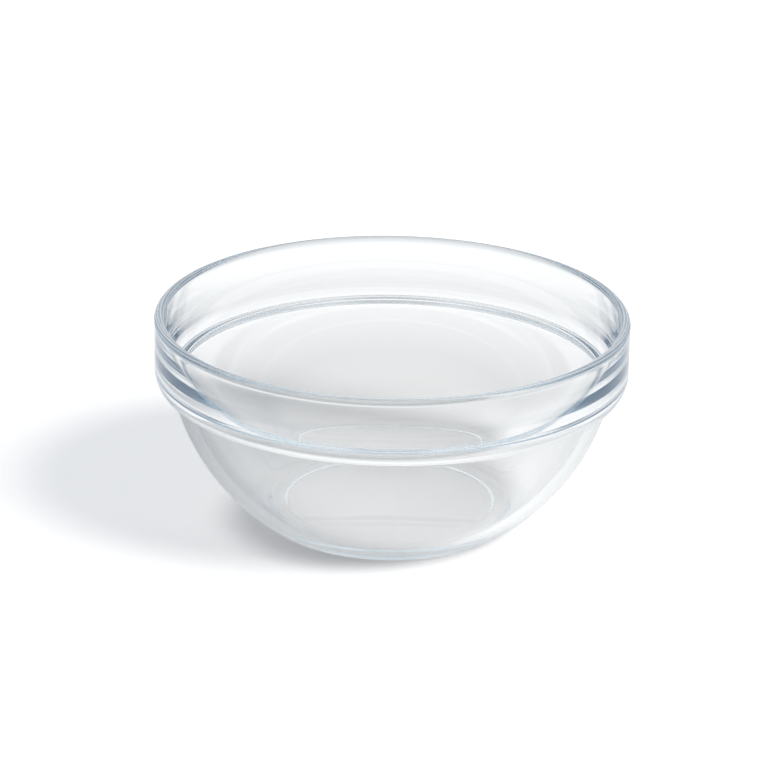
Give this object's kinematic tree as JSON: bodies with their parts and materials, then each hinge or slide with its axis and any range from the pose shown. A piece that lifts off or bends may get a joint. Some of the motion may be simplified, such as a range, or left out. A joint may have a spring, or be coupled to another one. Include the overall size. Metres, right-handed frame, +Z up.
{
  "type": "stackable glass bowl",
  "caption": "Round clear pressed-glass bowl with an upright collar, a rounded lip and a stacking shoulder; it holds food and stacks in bowls of its own size.",
  "frame": {"origin": "centre of the foot ring, on the surface that the bowl stands on", "axes": "+Z up along the bowl's axis; X and Y lie level, in any direction, because the bowl is round"},
  "size_m": [0.1998, 0.1998, 0.09],
  "materials": {
    "clear_glass": "clear pressed glass, fire-polished and glossy"
  },
  "bodies": {
    "root": {"bowl": "clear_glass"}
  },
  "joints": []
}
